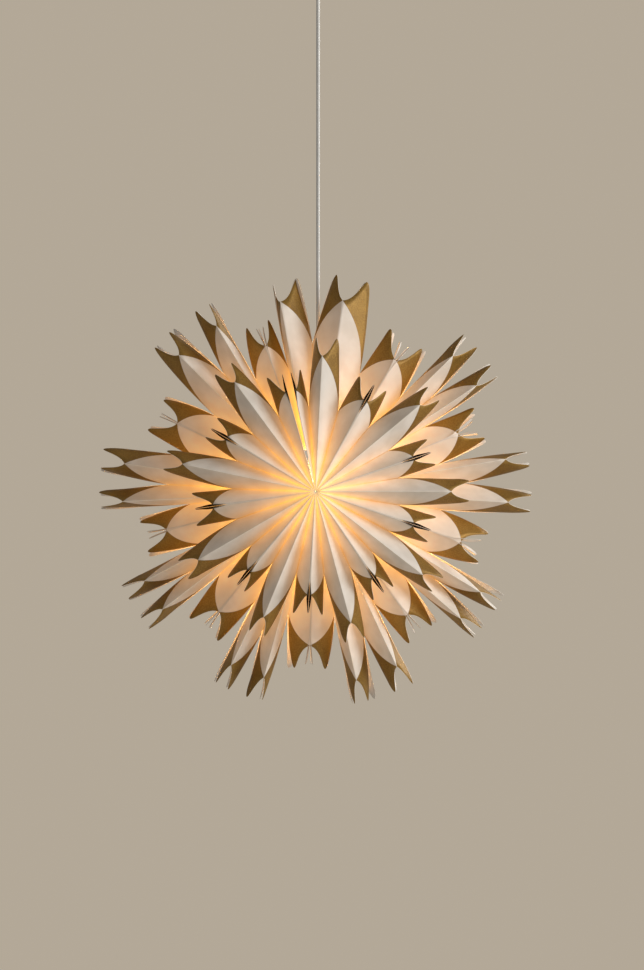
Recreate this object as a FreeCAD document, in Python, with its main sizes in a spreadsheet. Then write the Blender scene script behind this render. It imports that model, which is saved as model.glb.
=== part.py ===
import FreeCAD, Part
import Sketcher
import math
import os

from FreeCAD import Placement, Rotation, Vector

# A pleated paper star on a lampholder, hung by its cord from a hook under a ceiling cup.
# Millimetres, +Z up, origin on the ceiling where the cord's line meets it. The star's own axis
# runs along Y: its front looks towards -Y. Nine bags stand round the axis. Each has a small
# pleated sheet in front, a larger one at the rim, and the same two again on the back.

doc = FreeCAD.newDocument("paper_star_pendant")

driving_sizes = (
    ("drop", 765),                   # ceiling to the star's centre
    ("star_shift", -3.5),            # the star's centre stands beside the cord's line
    ("paper", 0.8),                  # sheet, measured along the star's axis
    ("side_wall", 0.4),              # one side of a front or back bag
    ("seam_wall", 0.8),              # two sides of neighbouring rim bags, glued together
    ("pole_hole", 1.2),              # radius left open where all the folds meet
    ("glue_line", 0.5),              # between a front bag's sides and the rim sheet behind it
    ("wing_hollow", 0.17),           # sagitta of a wing's hollow edge over its chord
    ("hollow_steps", 3),             # straight steps that the hollow edge is drawn with
    ("front_depth", 118),            # pole of the front folds, from the star's middle plane
    ("front_fold_slope", 0.14),      # how the ridges and seams of the front sheet lean back
    ("front_notch_slope", 0.42),     # the same for its valleys
    ("front_seam_tip", 145),
    ("front_seam_wing", 178.5),
    ("front_ridge_tip", 190),
    ("front_ridge_wing", 220),
    ("front_notch", 125),
    ("front_seam_wing_share", 0.56),
    ("front_ridge_wing_share", 0.35),
    ("front_side_turn", 10),         # degrees from a seam fold to the wing of the bag's side
    ("front_side_strip", 6),         # width of a bag's side close to the pole
    ("front_side_root", 20),         # radius where that strip starts to widen
    ("rim_depth", 82),               # pole of the rim folds
    ("rim_seam_slope", 0.20),
    ("rim_notch_slope", 0.36),
    ("rim_ridge_slope", 0.18),
    ("rim_mouth_slope", 0.375),      # the valley between the two narrow petals
    ("rim_seam_tip", 219),
    ("rim_seam_wing", 258.5),
    ("rim_notch", 186),
    ("rim_ridge_tip", 273.5),
    ("rim_ridge_wing", 311),
    ("rim_mouth_notch", 220),
    ("rim_seam_wing_share", 0.5),
    ("rim_ridge_wing_share", 0.44),
    ("rim_petal_half", 10.7),        # degrees from a rim seam to its notch, at most
    ("rim_petal_share", 0.77),       # and its share of the way to the next ridge
    ("rim_side_wing", 246),          # radius of the wings on a seam wall
    ("rim_side_wing_depth", 8),      # and how far they stand from the middle plane
    ("rim_side_notch", 195),
    ("chamber", 62),                 # radius kept open round the lamp
    ("front_first_seam", 18.7),      # degrees, anticlockwise from +X seen from the front
    ("rim_first_seam", 22.0),
    ("closing_gap", 3.7),            # degrees by which the front bags 2 and 3 stand apart
)

# How far each bag was spread when the fan was opened, and where its folds lie in it.
front_spread = (42.5, 40.7, 43.4, 39.2, 41.9, 36.4, 37.6, 37.3, 37.3)
front_ridge_share = (0.492, 0.639, 0.479, 0.492, 0.527, 0.481, 0.495, 0.485, 0.499)
rim_spread = (36.7, 50.1, 44.9, 40.8, 36.7, 36.7, 38.7, 34.5, 40.9)
rim_first_share = (0.308, 0.463, 0.269, 0.441, 0.357, 0.351, 0.370, 0.354, 0.384)
rim_second_share = (0.616, 0.834, 0.584, 0.718, 0.629, 0.635, 0.698, 0.638, 0.698)

fitting_sizes = (
    ("cord_radius", 2.5),
    ("cord_clearance", 0.1),
    ("running_gap", 0.2),
    ("bracket_length", 76),
    ("bracket_width", 16),
    ("bracket_sheet", 1.5),
    ("bracket_ear", 14),
    ("bracket_hole", 2.3),
    ("bracket_hole_pitch", 48),
    ("cup_wall", 1.2),
    ("cup_height", 58),
    ("cup_outlet", 9.5),
    ("cup_screw_radius", 1.5),
    ("cup_screw_level", 8),
    ("cup_screw_head", 3),
    ("cup_screw_head_depth", 2),
    ("hook_sheet", 2),
    ("hook_width", 3),
    ("hook_bowl", 6),
    ("hook_shank", 8),
    ("hook_foot", 7),
    ("ring_sheet", 2),
    ("ring_width", 2.75),
    ("ring_bore", 4.75),
    ("hook_gap", 0.6),               # room for the ring to rock on the hook
    ("eye_gap", 0.55),
    ("eye_hole", 3.5),
    ("eye_thickness", 3),
    ("hanger_width", 12),
    ("hanger_thickness", 9),
    ("hanger_length", 19),
    ("hanger_bore_depth", 14),
    ("clamp_screw_radius", 1.5),
    ("bulb_radius", 13),
    ("bulb_low_end", 32),
    ("bulb_high_end", 18),
    ("bulb_shoulder", 5),
    ("bulb_collar_radius", 11),
    ("bulb_collar_end", 31.5),
    ("bulb_cap_radius", 6.9),
    ("bulb_cap_end", 53),
    ("bulb_tip_radius", 3.5),
    ("bulb_tip_length", 1.6),
    ("contact_gap", 0.15),
    ("contact_length", 12),
    ("contact_width", 4),
    ("holder_mouth", 32),
    ("holder_radius", 14),
    ("holder_bore", 7.2),
    ("cap_start", 56),
    ("cap_top", 88),
    ("cap_floor", 22),
    ("nipple_radius", 5),
    ("nipple_length", 12),
    ("nut_radius", 9),
    ("nut_depth", 5),
    ("grip_radius", 7),
    ("grip_depth", 5),
    ("bar_sheet", 1.5),
    ("bar_half_width", 8),
    ("bar_tongue_half_width", 3),
    ("bar_overhang", 7),
    ("slot_margin", 0.4),
    ("slot_seat", 0.1),
    ("clip_sheet", 0.6),
    ("clip_reach", 9),
    ("clip_width", 12),
    ("clip_offset", 30),
    ("terminal_length", 16),
    ("terminal_width", 11),
    ("terminal_depth", 11),
    ("terminal_offset", 14),
)

sheet = doc.addObject("Spreadsheet::Sheet", "Sizes")
for row, (alias, value) in enumerate(driving_sizes + fitting_sizes, start=1):
    sheet.set(f"A{row}", alias)
    sheet.set(f"B{row}", str(value))
    sheet.setAlias(f"B{row}", alias)
doc.recompute()
size = {alias: float(sheet.get(alias)) for alias, value in driving_sizes + fitting_sizes}

front, back = -1, 1
nodes = []


def keep(obj, label):
    obj.Label = label
    nodes.append(obj)
    return obj


def add_shape(label, shape, at=Vector(0, 0, 0)):
    feature = doc.addObject("Part::Feature", label)
    feature.Shape = shape
    feature.Placement = Placement(at, Rotation())
    return keep(feature, label)


def joined(shapes):
    return shapes[0].multiFuse(shapes[1:]) if len(shapes) > 1 else shapes[0]


def primitive(kind, name, at=("0", "0", "0"), axis=None, turn=0, **formulas):
    obj = doc.addObject(f"Part::{kind}", name)
    if axis:
        obj.Placement = Placement(Vector(0, 0, 0), Rotation(Vector(*axis), turn))
    for prop, formula in formulas.items():
        obj.setExpression(prop, formula)
    for letter, formula in zip("xyz", at):
        obj.setExpression(f".Placement.Base.{letter}", formula)
    return obj


def cut(label, base, *tools):
    for n, tool in enumerate(tools):
        step = doc.addObject("Part::Cut", f"{label}_cut{n}")
        step.Base, step.Tool = base, tool
        base = step
    return base


def value_of(formula):
    found = sheet.evalExpression(formula)
    return float(getattr(found, "Value", found))


def profiled(label, corners, up):
    """A body with a closed sketch in its XZ plane, from corners given as pairs of formulas."""
    body = doc.addObject("PartDesign::Body", label)
    sketch = body.newObject("Sketcher::SketchObject", f"{label}_profile")
    plane = next(f for f in body.Origin.OriginFeatures if f.Role == "XZ_Plane")
    sketch.AttachmentSupport = [(plane, "")]
    sketch.MapMode = "FlatFace"
    values = [tuple(value_of(formula) for formula in corner) for corner in corners]
    count = len(corners)
    for here, there in zip(values, values[1:] + values[:1]):
        sketch.addGeometry(Part.LineSegment(Vector(*here, 0), Vector(*there, 0)), False)
    for n in range(count):
        sketch.addConstraint(Sketcher.Constraint("Coincident", n, 2, (n + 1) % count, 1))
    for n in range(count):
        for axis, value, formula in zip("XY", values[n], corners[n]):
            rule = sketch.addConstraint(Sketcher.Constraint(f"Distance{axis}", -1, 1, n, 1, value))
            sketch.setExpression(f"Constraints[{rule}]", formula)
    body.setExpression(".Placement.Base.z", up)
    return body, sketch


def revolved(label, corners, up="0"):
    """A body turned about Z: its corners are (radius, height)."""
    body, sketch = profiled(label, corners, up)
    turn = body.newObject("PartDesign::Revolution", f"{label}_turn")
    turn.Profile = sketch
    turn.ReferenceAxis = (sketch, ["V_Axis"])
    turn.Angle = 360
    body.Tip = turn
    return body


def padded(label, corners, width, up="0"):
    """A body of one outline in XZ, as wide along Y on both sides of it."""
    body, sketch = profiled(label, corners, up)
    pad = body.newObject("PartDesign::Pad", f"{label}_pad")
    pad.Profile = sketch
    pad.SideType = "Symmetric"
    pad.setExpression("Length", width)
    body.Tip = pad
    return body


# The paper: every panel is a flat piece of a die-cut pattern whose folds meet at a pole.

def fold(azimuth, slope, tip, wing=None, wing_share=None):
    return {"azimuth": math.radians(azimuth), "slope": slope, "tip": tip,
            "wing": wing, "wing_share": wing_share}


def fold_direction(line, side):
    """Unit vector along a fold, away from its pole: slope is the lean towards the middle."""
    flat = Vector(math.cos(line["azimuth"]), -side * line["slope"], math.sin(line["azimuth"]))
    return flat.normalize()


def hollow_edge(tip, wing, notch, pull):
    """Points along the hollow cut from a petal's tip to its wing, bent towards pull.

    A hollow stops short of the wing's other edge, which runs on to the notch.
    """
    chord = wing - tip
    beyond = (notch - wing).dot(chord) / chord.Length
    to_edge = (notch - tip).dot(pull) * chord.Length / -beyond
    rise = pull * min(4 * chord.Length * size["wing_hollow"], to_edge)
    steps = int(size["hollow_steps"])
    return [tip + chord * share + rise * (share * (1 - share))
            for share in (step / steps for step in range(steps))]


def petal_edge(tip, wing, notch, pull):
    """Cut edge of a half petal: hollow from the tip to the wing, then straight to the notch."""
    return hollow_edge(tip, wing, notch, pull) + [wing, notch]


def flat_face(points):
    return Part.Face(Part.makePolygon(points + points[:1]))


def panel(pole, side, petal, valley, inner, drop_to):
    """The half petal between a ridge or seam fold and a valley fold, as a flat face."""
    along = fold_direction(petal, side)
    other = fold_direction(valley, side)
    across = (other - along * other.dot(along)).normalize()
    full = along.getAngle(other)
    wing_turn = petal["wing_share"] * full
    wing = pole + (along * math.cos(wing_turn) + across * math.sin(wing_turn)) * petal["wing"]
    tip = pole + along * petal["tip"]
    notch = pole + other * valley["tip"]
    chord = (wing - tip).normalize()
    pull = (across - chord * across.dot(chord)).normalize()
    pull = pull if pull.dot(along) < 0 else pull * -1
    near_petal = pole + along * (inner * math.hypot(1, petal["slope"]))
    near_valley = pole + other * (inner * math.hypot(1, valley["slope"]))
    outline = petal_edge(tip, wing, notch, pull) + [near_valley, near_petal]
    return flat_face(outline).extrude(Vector(0, drop_to, 0))


def pleated_sheet(folds, side, depth, inner):
    """One sheet: its panels stand between neighbouring folds, petals and valleys in turn."""
    pole = Vector(0, side * depth, 0)
    inward = -side * size["paper"]
    panels = []
    for one, two in zip(folds, folds[1:]):
        petal, valley = (one, two) if one["wing"] else (two, one)
        panels.append(panel(pole, side, petal, valley, inner, inward))
    return joined(panels)


def slope_at(folds, azimuth):
    """Lean of a pleated sheet along a ray between two of its folds."""
    for one, two in zip(folds, folds[1:]):
        low, high = one["azimuth"], two["azimuth"]
        if low - 1e-9 <= azimuth <= high + 1e-9:
            span = math.sin(high - low)
            return (one["slope"] * math.sin(high - azimuth)
                    + two["slope"] * math.sin(azimuth - low)) / span
    return None


def spread_starts(first, spreads, gaps=()):
    """Azimuth at which each bag starts and ends when the spreads fill the whole turn."""
    extra = dict(gaps)
    scale = (360 - sum(extra.values())) / sum(spreads)
    bounds, at = [], first
    for n, spread in enumerate(spreads):
        bounds.append((at, at + spread * scale))
        at += spread * scale + extra.get(n, 0)
    return bounds


def front_folds(start, end, ridge_share):
    ridge = start + (end - start) * ridge_share
    seam = {"slope": size["front_fold_slope"], "tip": size["front_seam_tip"],
            "wing": size["front_seam_wing"], "wing_share": size["front_seam_wing_share"]}
    valley = {"slope": size["front_notch_slope"], "tip": size["front_notch"]}
    return [
        fold(start, **seam),
        fold((start + ridge) / 2, **valley),
        fold(ridge, size["front_fold_slope"], size["front_ridge_tip"],
             size["front_ridge_wing"], size["front_ridge_wing_share"]),
        fold((ridge + end) / 2, **valley),
        fold(end, **seam),
    ]


def rim_folds(start, end, first_share, second_share):
    first = start + (end - start) * first_share
    second = start + (end - start) * second_share
    seam = {"slope": size["rim_seam_slope"], "tip": size["rim_seam_tip"],
            "wing": size["rim_seam_wing"], "wing_share": size["rim_seam_wing_share"]}
    ridge = {"slope": size["rim_ridge_slope"], "tip": size["rim_ridge_tip"],
             "wing": size["rim_ridge_wing"], "wing_share": size["rim_ridge_wing_share"]}
    valley = {"slope": size["rim_notch_slope"], "tip": size["rim_notch"]}
    near = min(size["rim_petal_half"], size["rim_petal_share"] * (first - start))
    far = min(size["rim_petal_half"], size["rim_petal_share"] * (end - second))
    return [
        fold(start, **seam),
        fold(start + near, **valley),
        fold(first, **ridge),
        fold((first + second) / 2, size["rim_mouth_slope"], size["rim_mouth_notch"]),
        fold(second, **ridge),
        fold(end - far, **valley),
        fold(end, **seam),
    ]


front_bounds = spread_starts(size["front_first_seam"], front_spread, [(1, size["closing_gap"])])
rim_bounds = spread_starts(size["rim_first_seam"], rim_spread)
front_sheets = [front_folds(start, end, share)
                for (start, end), share in zip(front_bounds, front_ridge_share)]
rim_sheets = [rim_folds(start, end, one, two)
              for (start, end), one, two in zip(rim_bounds, rim_first_share, rim_second_share)]


def rim_slope(azimuth):
    """Lean of the rim sheets, whichever bag the azimuth (in radians) falls in."""
    for turns in (-1, 0, 1):
        for folds in rim_sheets:
            slope = slope_at(folds, azimuth + turns * math.tau)
            if slope is not None:
                return slope
    raise ValueError("azimuth outside the star")


def bag_side(azimuth, side, towards):
    """Flat side of a front or back bag, in the plane of its seam fold.

    It runs from the seam fold down to the rim sheet behind it, leaves the lamp's room open,
    and carries a wing of its own beyond the petal's tip.
    """
    depth, slope = size["front_depth"], size["front_fold_slope"]
    ray = Vector(math.cos(azimuth), 0, math.sin(azimuth))

    def at(radius, height):
        return ray * radius + Vector(0, side * height, 0)

    def on_rim(radius):
        turn = towards * size["side_wall"] / radius
        lean_back = min(rim_slope(azimuth), rim_slope(azimuth + turn))
        return size["rim_depth"] - lean_back * radius + size["glue_line"]

    lean = math.atan(slope)
    wing_lean = lean + math.radians(size["front_side_turn"])
    wing_length, tip_length = size["front_seam_wing"], size["front_seam_tip"]
    tip = at(tip_length * math.cos(lean), depth - tip_length * math.sin(lean))
    wing = at(wing_length * math.cos(wing_lean), depth - wing_length * math.sin(wing_lean))
    notch_radius = size["front_notch"] * math.cos(math.atan(size["front_notch_slope"]))
    notch = at(notch_radius, on_rim(notch_radius))
    chord = (wing - tip).normalize()
    pull = (ray * -1 - chord * chord.dot(ray * -1)).normalize()
    root = size["front_side_root"]
    outline = petal_edge(tip, wing, notch, pull) + [
        at(size["chamber"], on_rim(size["chamber"])),
        at(root, depth - slope * root - 2 * size["front_side_strip"]),
        at(size["pole_hole"], depth - size["front_side_strip"]),
        at(size["pole_hole"], depth - slope * size["pole_hole"]),
    ]
    normal = Vector(-math.sin(azimuth), 0, math.cos(azimuth)) * towards
    return flat_face(outline).extrude(normal * size["side_wall"])


def seam_wall(azimuth):
    """Double wall between two rim bags, from the lamp's room out to its front and back wings."""
    depth, slope = size["rim_depth"], size["rim_seam_slope"]
    ray = Vector(math.cos(azimuth), 0, math.sin(azimuth))
    lean = math.atan(slope)
    tip_radius = size["rim_seam_tip"] * math.cos(lean)
    notch = ray * size["rim_side_notch"]
    halves = {}
    for side in (front, back):
        tip = ray * tip_radius + Vector(0, side * (depth - slope * tip_radius), 0)
        wing = ray * size["rim_side_wing"] + Vector(0, side * size["rim_side_wing_depth"], 0)
        chord = (wing - tip).normalize()
        pull = (ray * -1 - chord * chord.dot(ray * -1)).normalize()
        inner = ray * size["chamber"] + Vector(0, side * (depth - slope * size["chamber"]), 0)
        halves[side] = [inner] + petal_edge(tip, wing, notch, pull)[:-1]
    outline = halves[front] + [notch] + halves[back][::-1]
    normal = Vector(-math.sin(azimuth), 0, math.cos(azimuth))
    face = flat_face(outline)
    face.translate(normal * (-size["seam_wall"] / 2))
    return face.extrude(normal * size["seam_wall"])


star_at = Vector(size["star_shift"], 0, -size["drop"])
walls = [seam_wall(folds[0]["azimuth"]) for folds in rim_sheets]
wall_block = Part.makeCompound(walls)


def hanger_slot(azimuth):
    """Block that opens a seam wall for the end of the hanger bar."""
    level = size["cap_top"]
    across = level / math.tan(azimuth)
    high = size["bar_sheet"] + size["slot_margin"] + size["slot_seat"]
    wide = 2 * (size["bar_tongue_half_width"] + size["slot_margin"])
    reach = 4 * size["seam_wall"]
    corner = Vector(across - reach, -wide / 2, level - size["slot_margin"])
    return Part.makeBox(2 * reach, wide, high, corner)


for number, folds in enumerate(front_sheets, start=1):
    for side, name in ((front, "front"), (back, "back")):
        pieces = [
            pleated_sheet(folds, side, size["front_depth"], size["pole_hole"]),
            bag_side(folds[0]["azimuth"], side, 1),
            bag_side(folds[-1]["azimuth"], side, -1),
        ]
        add_shape(f"{name}_bag_{number}", joined(pieces), star_at)

for number, folds in enumerate(rim_sheets, start=1):
    for side, name in ((front, "front"), (back, "back")):
        whole = pleated_sheet(folds, side, size["rim_depth"], size["chamber"])
        add_shape(f"rim_{name}_sheet_{number}", whole.cut(wall_block), star_at)

# The hanger bar's ends pass through the two walls of the bag that the cord comes in by.
hung_walls = (1, 2)
for number in hung_walls:
    walls[number] = walls[number].cut(hanger_slot(rim_sheets[number][0]["azimuth"]))
add_shape("seam_walls", Part.makeCompound(walls), star_at)


def closing_clips():
    """Two sprung clips that hold the first and the last bag together at the closing seam."""
    azimuth = rim_sheets[2][0]["azimuth"]
    gap = size["seam_wall"] / 2
    ray = Vector(math.cos(azimuth), 0, math.sin(azimuth))
    turn = Rotation(Vector(0, 1, 0), -math.degrees(azimuth))
    clips = []
    for side in (front, back):
        thick, reach, wide = size["clip_sheet"], size["clip_reach"], size["clip_width"]
        outer = Part.makeBox(reach, wide, 2 * (gap + thick), Vector(-thick, -wide / 2, -gap - thick))
        inner = Part.makeBox(reach, wide, 2 * gap, Vector(0, -wide / 2, -gap))
        clip = outer.cut(inner)
        clip.Placement = Placement(ray * size["chamber"] + Vector(0, side * size["clip_offset"], 0), turn)
        clips.append(clip)
    return Part.makeCompound(clips)


add_shape("closing_clips", closing_clips(), star_at)

# The lamp: bulb, lampholder and the bar that carries the star. Heights are from the bulb's centre.

centre = "-Sizes.drop"


keep(revolved("bulb_glass", [
    ("0", "-Sizes.bulb_low_end"),
    ("Sizes.bulb_radius - Sizes.bulb_shoulder", "-Sizes.bulb_low_end"),
    ("Sizes.bulb_radius", "-Sizes.bulb_low_end + Sizes.bulb_shoulder"),
    ("Sizes.bulb_radius", "Sizes.bulb_high_end"),
    ("0", "Sizes.bulb_high_end"),
], centre), "bulb_glass")
for name, radius, low, high in (
    ("bulb_collar", "bulb_collar_radius", "bulb_high_end", "bulb_collar_end"),
    ("bulb_cap", "bulb_cap_radius", "bulb_collar_end", "bulb_cap_end"),
):
    keep(primitive("Cylinder", name, ("0", "0", f"{centre} + Sizes.{low}"),
                   Radius=f"Sizes.{radius}", Height=f"Sizes.{high} - Sizes.{low}"), name)
keep(primitive("Cylinder", "bulb_tip", ("0", "0", f"{centre} + Sizes.bulb_cap_end"),
               Radius="Sizes.bulb_tip_radius", Height="Sizes.bulb_tip_length"), "bulb_tip")

contact_low = "Sizes.bulb_cap_end + Sizes.bulb_tip_length + Sizes.contact_gap"
keep(primitive("Box", "centre_contact",
               ("-Sizes.contact_length / 2", "-Sizes.contact_width / 2", f"{centre} + {contact_low}"),
               Length="Sizes.contact_length", Width="Sizes.contact_width",
               Height=f"Sizes.cap_start - ({contact_low})"), "centre_contact")
keep(revolved("holder_shell", [
    ("Sizes.holder_bore", "Sizes.holder_mouth"),
    ("Sizes.holder_radius", "Sizes.holder_mouth"),
    ("Sizes.holder_radius", "Sizes.cap_start"),
    ("Sizes.holder_bore", "Sizes.cap_start"),
], centre), "holder_shell")
cord_hole = "Sizes.cord_radius + Sizes.cord_clearance"
keep(revolved("holder_cap", [
    ("0", "Sizes.cap_start"),
    ("Sizes.holder_radius", "Sizes.cap_start"),
    ("Sizes.holder_radius", "Sizes.cap_top"),
    ("Sizes.nipple_radius", "Sizes.cap_top"),
    ("Sizes.nipple_radius", "Sizes.cap_top + Sizes.nipple_length"),
    (cord_hole, "Sizes.cap_top + Sizes.nipple_length"),
    (cord_hole, "Sizes.cap_start + Sizes.cap_floor"),
    ("0", "Sizes.cap_start + Sizes.cap_floor"),
], centre), "holder_cap")
bar_top = "Sizes.cap_top + Sizes.bar_sheet"
grip_low = "Sizes.cap_top + Sizes.nipple_length"
for name, radius, low, depth, bore in (
    ("lock_nut", "nut_radius", bar_top, "nut_depth", "Sizes.nipple_radius + Sizes.cord_clearance"),
    ("cord_grip", "grip_radius", grip_low, "grip_depth", cord_hole),
):
    at = ("0", "0", f"{centre} + {low}")
    hexagon = primitive("Prism", f"{name}_hexagon", at,
                        Circumradius=f"Sizes.{radius}", Height=f"Sizes.{depth}")
    hole = primitive("Cylinder", f"{name}_bore", at, Radius=bore, Height=f"Sizes.{depth}")
    keep(cut(f"{name}_turned", hexagon, hole), name)


def hanger_bar():
    """A flat strip on the lampholder's nipple, with a narrow tongue through each seam wall."""
    level, shift = size["cap_top"], size["star_shift"]
    thick = size["bar_sheet"]
    azimuths = [rim_sheets[n][0]["azimuth"] for n in hung_walls]
    crossings = sorted(level / math.tan(azimuth) + shift for azimuth in azimuths)
    left, right = crossings[0], crossings[1]
    narrow, wide, over = size["bar_tongue_half_width"], size["bar_half_width"], size["bar_overhang"]
    outline = [
        (left - over, -narrow), (left + over, -narrow), (left + over + wide - narrow, -wide),
        (right - over - wide + narrow, -wide), (right - over, -narrow), (right + over, -narrow),
    ]
    outline += [(across, -depth) for across, depth in reversed(outline)]
    points = [Vector(x, y, level - size["drop"]) for x, y in outline]
    strip = Part.Face(Part.makePolygon(points + points[:1])).extrude(Vector(0, 0, thick))
    hole = Part.makeCylinder(size["nipple_radius"] + size["cord_clearance"], thick,
                             Vector(0, 0, level - size["drop"]))
    return strip.cut(hole)


add_shape("hanger_bar", hanger_bar())

# The ceiling fitting: plate, cup, hook, ring and the cord's hanger. Heights are from the ceiling.

half_bracket = "Sizes.bracket_length / 2"
strap = padded("ceiling_bracket_strap", [
    (f"-{half_bracket}", "0"),
    (half_bracket, "0"),
    (half_bracket, "-Sizes.bracket_ear"),
    (f"{half_bracket} - Sizes.bracket_sheet", "-Sizes.bracket_ear"),
    (f"{half_bracket} - Sizes.bracket_sheet", "-Sizes.bracket_sheet"),
    (f"Sizes.bracket_sheet - {half_bracket}", "-Sizes.bracket_sheet"),
    (f"Sizes.bracket_sheet - {half_bracket}", "-Sizes.bracket_ear"),
    (f"-{half_bracket}", "-Sizes.bracket_ear"),
], "Sizes.bracket_width")
screw_holes = [
    primitive("Cylinder", f"bracket_hole_{name}", (f"{sign}Sizes.bracket_hole_pitch / 2", "0",
              "-2 * Sizes.bracket_sheet"), Radius="Sizes.bracket_hole", Height="3 * Sizes.bracket_sheet")
    for name, sign in (("left", "-"), ("right", ""))
]
tapped_holes = primitive("Cylinder", "bracket_tapped_holes",
                         (f"-{half_bracket} - 1", "0", "-Sizes.cup_screw_level"), (0, 1, 0), 90,
                         Radius="Sizes.cup_screw_radius", Height="Sizes.bracket_length + 2")
keep(cut("ceiling_bracket_drilled", strap, *screw_holes, tapped_holes), "ceiling_bracket")

# The cup goes up over the bracket's ears, and its two screws clamp it by slots open at the rim.
cup_bore = "sqrt(Sizes.bracket_length ^ 2 + Sizes.bracket_width ^ 2) / 2 + Sizes.running_gap"
cup_shell = revolved("ceiling_cup_shell", [
    ("Sizes.cup_outlet", "-Sizes.cup_height"),
    (f"{cup_bore} + Sizes.cup_wall", "-Sizes.cup_height"),
    (f"{cup_bore} + Sizes.cup_wall", "-Sizes.running_gap"),
    (cup_bore, "-Sizes.running_gap"),
    (cup_bore, "-Sizes.cup_height + Sizes.cup_wall"),
    ("Sizes.cup_outlet", "-Sizes.cup_height + Sizes.cup_wall"),
])
slot_width = "2 * Sizes.cup_screw_radius + 2 * Sizes.running_gap"
slots = primitive("Box", "ceiling_cup_slots",
                  ("-Sizes.bracket_length", f"-({slot_width}) / 2",
                   "-Sizes.cup_screw_level - Sizes.cup_screw_radius - Sizes.running_gap"),
                  Length="2 * Sizes.bracket_length", Width=slot_width, Height="Sizes.cup_height")
keep(cut("ceiling_cup_slotted", cup_shell, slots), "ceiling_cup")


def cup_screws():
    """Two screws, from inside the bracket's ears to their heads outside the cup."""
    ear = size["bracket_length"] / 2
    corner = math.hypot(size["bracket_length"], size["bracket_width"]) / 2
    outside = corner + size["running_gap"] + size["cup_wall"]
    level = -size["cup_screw_level"]
    screws = []
    for way in (-1, 1):
        out = Vector(way, 0, 0)
        start = Vector(way * (ear - size["bracket_sheet"]), 0, level)
        length = outside + size["cord_clearance"] - ear + size["bracket_sheet"]
        shank = Part.makeCylinder(size["cup_screw_radius"], length, start, out)
        head_at = way * (outside + size["cord_clearance"])
        corners = [Vector(head_at, size["cup_screw_head"] * math.cos(math.radians(60 * n)),
                          level + size["cup_screw_head"] * math.sin(math.radians(60 * n)))
                   for n in range(6)]
        head = flat_face(corners).extrude(out * size["cup_screw_head_depth"])
        screws.append(shank.fuse(head))
    return Part.makeCompound(screws)


add_shape("cup_screws", cup_screws())


def ceiling_hook():
    """Flat pressed hook: a foot against the plate, a shank to one side, and a round bowl."""
    thick, wide, bowl = size["hook_sheet"], size["hook_width"], size["hook_bowl"]
    top = -size["bracket_sheet"]
    bowl_level = top - size["hook_shank"]
    outer, inner = bowl + wide / 2, bowl - wide / 2
    disc = Part.makeCylinder(outer, thick, Vector(0, -thick / 2, bowl_level), Vector(0, 1, 0))
    eye = Part.makeCylinder(inner, thick, Vector(0, -thick / 2, bowl_level), Vector(0, 1, 0))
    upper = Part.makeBox(2 * outer, thick, 2 * outer, Vector(-outer, -thick / 2, bowl_level))
    shank = Part.makeBox(wide, thick, size["hook_shank"], Vector(inner, -thick / 2, bowl_level))
    foot = Part.makeBox(2 * outer, 2 * size["hook_foot"], thick,
                        Vector(-outer, -size["hook_foot"], top - thick))
    tongue = Part.makeBox(wide, thick, wide, Vector(-outer, -thick / 2, bowl_level))
    bowl_half = disc.cut([eye, upper])
    return bowl_half.fuse([shank, foot, tongue]), bowl_level - inner


hook_shape, hook_seat = ceiling_hook()
add_shape("ceiling_hook", hook_shape)

# A stamped ring stands across the hook, and the cord's hanger hangs in the ring.
ring_level = hook_seat + size["hook_gap"] - size["ring_bore"]
ring_outer = size["ring_bore"] + size["ring_width"]
ring_start = Vector(-size["ring_sheet"] / 2, 0, ring_level)
ring_plate = Part.makeCylinder(ring_outer, size["ring_sheet"], ring_start, Vector(1, 0, 0))
ring_hole = Part.makeCylinder(size["ring_bore"], size["ring_sheet"], ring_start, Vector(1, 0, 0))
add_shape("hanger_ring", ring_plate.cut(ring_hole))
ring_foot = ring_level - size["ring_bore"]
eye_level = ring_foot + size["eye_gap"] - size["eye_hole"]


def cord_hanger():
    """Strain relief: a flat eye over a moulded block that the cord goes up into."""
    half, thick = size["hanger_width"] / 2, size["eye_thickness"]
    body_top = eye_level - 2 * size["eye_hole"]
    body_low = body_top - size["hanger_length"]
    crown = Part.makeCylinder(half, thick, Vector(0, -thick / 2, eye_level), Vector(0, 1, 0))
    neck = Part.makeBox(2 * half, thick, eye_level - body_top, Vector(-half, -thick / 2, body_top))
    deep = size["hanger_thickness"]
    body = Part.makeBox(2 * half, deep, size["hanger_length"], Vector(-half, -deep / 2, body_low))
    hole = Part.makeCylinder(size["eye_hole"], thick, Vector(0, -thick / 2, eye_level),
                             Vector(0, 1, 0))
    bore = Part.makeCylinder(size["cord_radius"], size["hanger_bore_depth"], Vector(0, 0, body_low))
    screw = Part.makeCylinder(size["clamp_screw_radius"], half,
                              Vector(0, 0, body_top - size["hanger_length"] / 2), Vector(1, 0, 0))
    return body.fuse([neck, crown]).cut([hole, bore, screw]), body_low


hanger_shape, hanger_foot = cord_hanger()
add_shape("cord_hanger", hanger_shape)
cord_start = hanger_foot + size["hanger_bore_depth"]
screw_level = hanger_foot + size["hanger_length"] / 2
screw_reach = size["hanger_width"] / 2 - size["cord_radius"]
clamp_screw = Part.makeCylinder(size["clamp_screw_radius"], screw_reach,
                                Vector(size["cord_radius"], 0, screw_level), Vector(1, 0, 0))
add_shape("clamp_screw", clamp_screw)
keep(primitive("Box", "terminal_block",
               ("-Sizes.terminal_offset - Sizes.terminal_width / 2", "-Sizes.terminal_length / 2",
                "-Sizes.bracket_sheet - Sizes.terminal_depth"),
               Length="Sizes.terminal_width", Width="Sizes.terminal_length",
               Height="Sizes.terminal_depth"), "terminal_block")

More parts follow.
